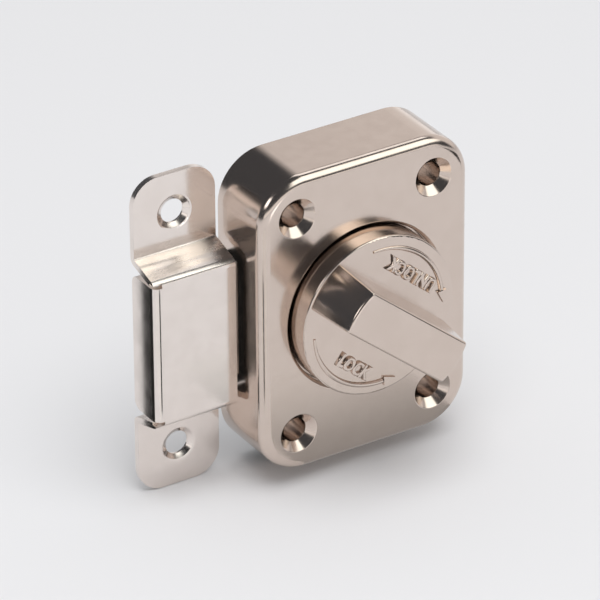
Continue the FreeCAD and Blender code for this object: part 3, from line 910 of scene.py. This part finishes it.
@dataclass(frozen=True)
class Sheet:
    """A flat sheet of the studio that the camera doesn't show.

    A flag or a board is a painted reflection that shows in the metal alone. A shade does the reverse:
    it casts a painted shadow and only keeps light off.
    """

    name: str
    low_mm: tuple
    high_mm: tuple
    level: float = 0.0
    rear_level: "float | None" = None
    fade_share: float = 0.75
    shades: bool = False

    def build(self) -> bpy.types.Object:
        """Put the sheet in its place, upright or lying.

        Returns:
            The sheet, marked as part of the stage.
        """
        low, high = Vector(self.low_mm) * MM, Vector(self.high_mm) * MM
        lying = low.z == high.z
        corners = [(low.x, low.y, low.z), (high.x, low.y if lying else high.y, low.z),
                   (high.x, high.y, high.z), (low.x, high.y if lying else low.y, high.z)]
        mesh = bpy.data.meshes.new(self.name)
        mesh.from_pydata(corners, [], [(0, 1, 2, 3)])
        mesh.materials.append(self.cloth(low.y, high.y))
        made = new_object(self.name, mesh)
        made.visible_camera = False
        made.visible_glossy = not self.shades
        made.visible_diffuse = self.shades
        made.visible_shadow = self.shades
        made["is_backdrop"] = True
        return made

    def cloth(self, front: float, rear: float) -> bpy.types.Material:
        """Make the sheet's glowing cloth, which fades to the rear level if it has one.

        Args:
            front: The sheet's front edge along Y.
            rear: Its rear edge along Y.

        Returns:
            The material.
        """
        made = bpy.data.materials.new(self.name + "_cloth")
        made.use_nodes = True
        tree = made.node_tree
        shader = tree.nodes["Principled BSDF"]
        shader.inputs["Base Color"].default_value = (0.0, 0.0, 0.0, 1)
        shader.inputs["Specular IOR Level"].default_value = 0.0
        shader.inputs["Emission Color"].default_value = (1, 1, 1, 1)
        shader.inputs["Emission Strength"].default_value = self.level
        if self.rear_level is not None:
            place = tree.nodes.new("ShaderNodeTexCoord")
            split = tree.nodes.new("ShaderNodeSeparateXYZ")
            link(tree, place.outputs["Object"], split.inputs[0])
            end = front + (rear - front) * self.fade_share
            fade = ramp_node(tree, split.outputs[1], front, end, self.level, self.rear_level)
            link(tree, fade, shader.inputs["Emission Strength"])
        return made


@dataclass
class Studio:
    """Floor, world, lamp, sheets and camera, whose three view angles are in degrees."""

    floor_colour: tuple = (0.818, 0.818, 0.833)
    floor_roughness: float = 0.9
    floor_reach: float = 4.0
    floor_gap: float = 0.0001
    sky_level: float = 0.52
    # Painted reflections: only the metal sees this dark and the cards over it; they light nothing, and
    # the plain sky and the lamp light the rest.
    reflection_dark_colour: tuple = (0.065, 0.068, 0.075)
    cards: tuple = (
        Card(66.0, 40.0, 18.0, 24.0, 9.0, 0.85, (1.0, 0.96, 0.94)),
        Card(46.0, 15.0, 3.0, 6.0, 5.0, 1.15),
        Card(50.0, 22.0, 56.0, 8.0, 3.0, 1.5),
        Card(138.0, 34.0, 45.0, 18.0, 5.0, 1.9, (1.0, 1.02, 0.97)),
        Card(188.0, 52.0, 3.0, 6.0, 3.0, 1.1, (1.0, 0.98, 0.96)),
        Card(260.0, 14.0, 34.0, 9.0, 3.0, 2.8, (1.0, 0.98, 0.96)),
    )
    # Painted reflections: the flags are dark sheets and the boards bright ones that show in the metal
    # alone and neither light nor shade anything.
    sheets: tuple = (
        Sheet("side_flag", (-56.0, -7.0, -38.0), (-56.0, 14.0, 16.0), 0.02),
        Sheet("front_flag", (-44.5, -31.0, -28.0), (-38.0, -31.0, 1.0), 0.01),
        Sheet("pocket_flag", (-35.0, 0.4, -20.0), (-25.5, 0.4, 12.0), 0.01),
        Sheet("bounce_board", (-105.0, -130.0, -36.8), (-44.0, -42.0, -36.8), 0.88),
        Sheet("edge_flag", (106.0, -56.0, -10.0), (84.0, -95.0, 12.0), 0.02),
        # Painted shade: a sheet seen only in the metal, darker towards the case, which the case's front
        # reflects as the floor's shadow at its foot.
        Sheet("painted_floor_shade_sheet", (-13.0, -56.0, -36.8), (27.0, -8.0, -36.8), 0.80, rear_level=0.38),
        Sheet("glint_board", (-20.0, -330.0, -36.8), (50.0, -210.0, -36.8), 2.4),
        # Painted shadow: a hidden sheet under the case's back left corner that casts a contact shadow
        # on the floor where nothing stands.
        Sheet("contact_shade", (-20.0, -4.5, -35.3), (-13.0, 1.5, -35.3), shades=True),
    )
    lamp_place: tuple = (-0.1, -0.5, 1.5)
    lamp_size: float = 1.4
    lamp_watts: float = 16.8
    camera_place_mm: tuple = (-515.4, -819.4, 543.4)
    view_yaw: float = 31.89
    view_pitch: float = 29.60
    view_roll: float = -0.40
    focal_pixels: float = 5391.0
    frame_pixels: float = 600.0
    sensor_mm: float = 36.0
    nearest: float = 0.05
    farthest: float = 30.0

    def build(self) -> None:
        """Set the whole stage."""
        self.floor()
        self.world()
        self.lamps()
        for sheet in self.sheets:
            sheet.build()
        self.camera()

    def floor(self) -> None:
        """Lay the floor under the lowest point of the object."""
        low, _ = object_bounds()
        shape = bmesh.new()
        bmesh.ops.create_grid(shape, x_segments=1, y_segments=1, size=self.floor_reach)
        mesh = bpy.data.meshes.new("floor")
        shape.to_mesh(mesh)
        shape.free()
        mesh.transform(Matrix.Translation((0, 0, low.z - self.floor_gap)))
        plain = bpy.data.materials.new("pale_floor")
        plain.use_nodes = True
        shader = plain.node_tree.nodes["Principled BSDF"]
        shader.inputs["Base Color"].default_value = (*self.floor_colour, 1)
        shader.inputs["Roughness"].default_value = self.floor_roughness
        shader.inputs["Specular IOR Level"].default_value = 0.0
        mesh.materials.append(plain)
        new_object("floor", mesh)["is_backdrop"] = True

    def world(self) -> None:
        """Light by a plain sky, and paint the cards and the dark between them into the metal's
        reflections alone.
        """
        world = bpy.data.worlds.new("studio")
        bpy.context.scene.world = world
        world.use_nodes = True
        tree = world.node_tree
        tree.nodes.clear()
        end = tree.nodes.new("ShaderNodeOutputWorld")
        emit = tree.nodes.new("ShaderNodeBackground")
        place = tree.nodes.new("ShaderNodeTexCoord")
        split = tree.nodes.new("ShaderNodeSeparateXYZ")
        link(tree, place.outputs["Generated"], split.inputs[0])
        x, y, z = split.outputs
        per_radian = math.degrees(1.0)
        azimuth = math_node(tree, "MULTIPLY", math_node(tree, "ARCTAN2", x, y), per_radian)
        elevation = math_node(tree, "MULTIPLY", math_node(tree, "ARCSINE", z), per_radian)
        colour: "Socket | tuple" = self.reflection_dark_colour
        for card in self.cards:
            mask = self.card_mask(tree, azimuth, elevation, card)
            lit = tuple(card.level * part for part in card.tint)
            colour = mix_colour(tree, mask, colour, lit)
        path = tree.nodes.new("ShaderNodeLightPath")
        plain = (self.sky_level,) * 3
        seen = mix_colour(tree, path.outputs["Is Glossy Ray"], plain, colour)
        shown = mix_colour(tree, path.outputs["Is Camera Ray"], seen, self.floor_colour)
        link(tree, shown, emit.inputs["Color"])
        link(tree, emit.outputs[0], end.inputs["Surface"])

    @staticmethod
    def card_mask(tree: Tree, azimuth: Socket, elevation: Socket, card: Card) -> Socket:
        """The mask of one card over the directions.

        Args:
            tree: The world's tree.
            azimuth: Degrees from +Y towards +X.
            elevation: Degrees above the horizon.
            card: The card.

        Returns:
            A socket that is 1 on the card and 0 off it.
        """
        off = math_node(tree, "SUBTRACT", azimuth, card.azimuth)
        turned = math_node(tree, "WRAP", off, 180.0, -180.0)
        rise = math_node(tree, "SUBTRACT", elevation, card.elevation)
        reaches = []
        for away, half in ((turned, card.half_width), (rise, card.half_height)):
            distance = math_node(tree, "ABSOLUTE", away)
            reaches.append(ramp_node(tree, distance, half - card.soft, half + card.soft, 1.0, 0.0))
        return math_node(tree, "MULTIPLY", *reaches)

    def lamps(self) -> None:
        """Hang one soft lamp that gives the floor its shadow."""
        data = bpy.data.lights.new("soft_lamp", "AREA")
        data.shape = "DISK"
        data.size = self.lamp_size
        data.energy = self.lamp_watts
        lamp = new_object("soft_lamp", data)
        place = Vector(self.lamp_place)
        lamp.location = place
        lamp.rotation_mode = "QUATERNION"
        lamp.rotation_quaternion = (-place).to_track_quat("-Z", "Y")
        lamp.visible_glossy = False

    def camera(self) -> None:
        """Set the camera at the photograph's viewing angle."""
        yaw = math.radians(self.view_yaw)
        pitch = math.radians(self.view_pitch)
        roll = math.radians(self.view_roll)
        forward = Vector((math.sin(yaw) * math.cos(pitch), math.cos(yaw) * math.cos(pitch),
                          -math.sin(pitch)))
        level = Vector((math.cos(yaw), -math.sin(yaw), 0))
        upright = level.cross(forward)
        right = level * math.cos(roll) + upright * math.sin(roll)
        up = upright * math.cos(roll) - level * math.sin(roll)
        data = bpy.data.cameras.new("camera")
        data.sensor_width = self.sensor_mm
        data.lens = self.focal_pixels / self.frame_pixels * self.sensor_mm
        data.clip_start = self.nearest
        data.clip_end = self.farthest
        camera = new_object("camera", data)
        turn = Matrix((right, up, -forward)).transposed().to_4x4()
        camera.matrix_world = Matrix.Translation(Vector(self.camera_place_mm) * MM) @ turn
        bpy.context.scene.camera = camera
        bpy.context.scene.view_settings.view_transform = "Standard"


def main() -> None:
    """Build the latch and its studio."""
    logging.basicConfig(level=logging.INFO, format="%(message)s")
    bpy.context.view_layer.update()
    for assembly in (Case(), Knob(), Keeper(), Bolt(), InnerWorks(), Studio()):
        assembly.build()
        LOG.info("%s done", type(assembly).__name__)


if __name__ == "__main__":
    main()
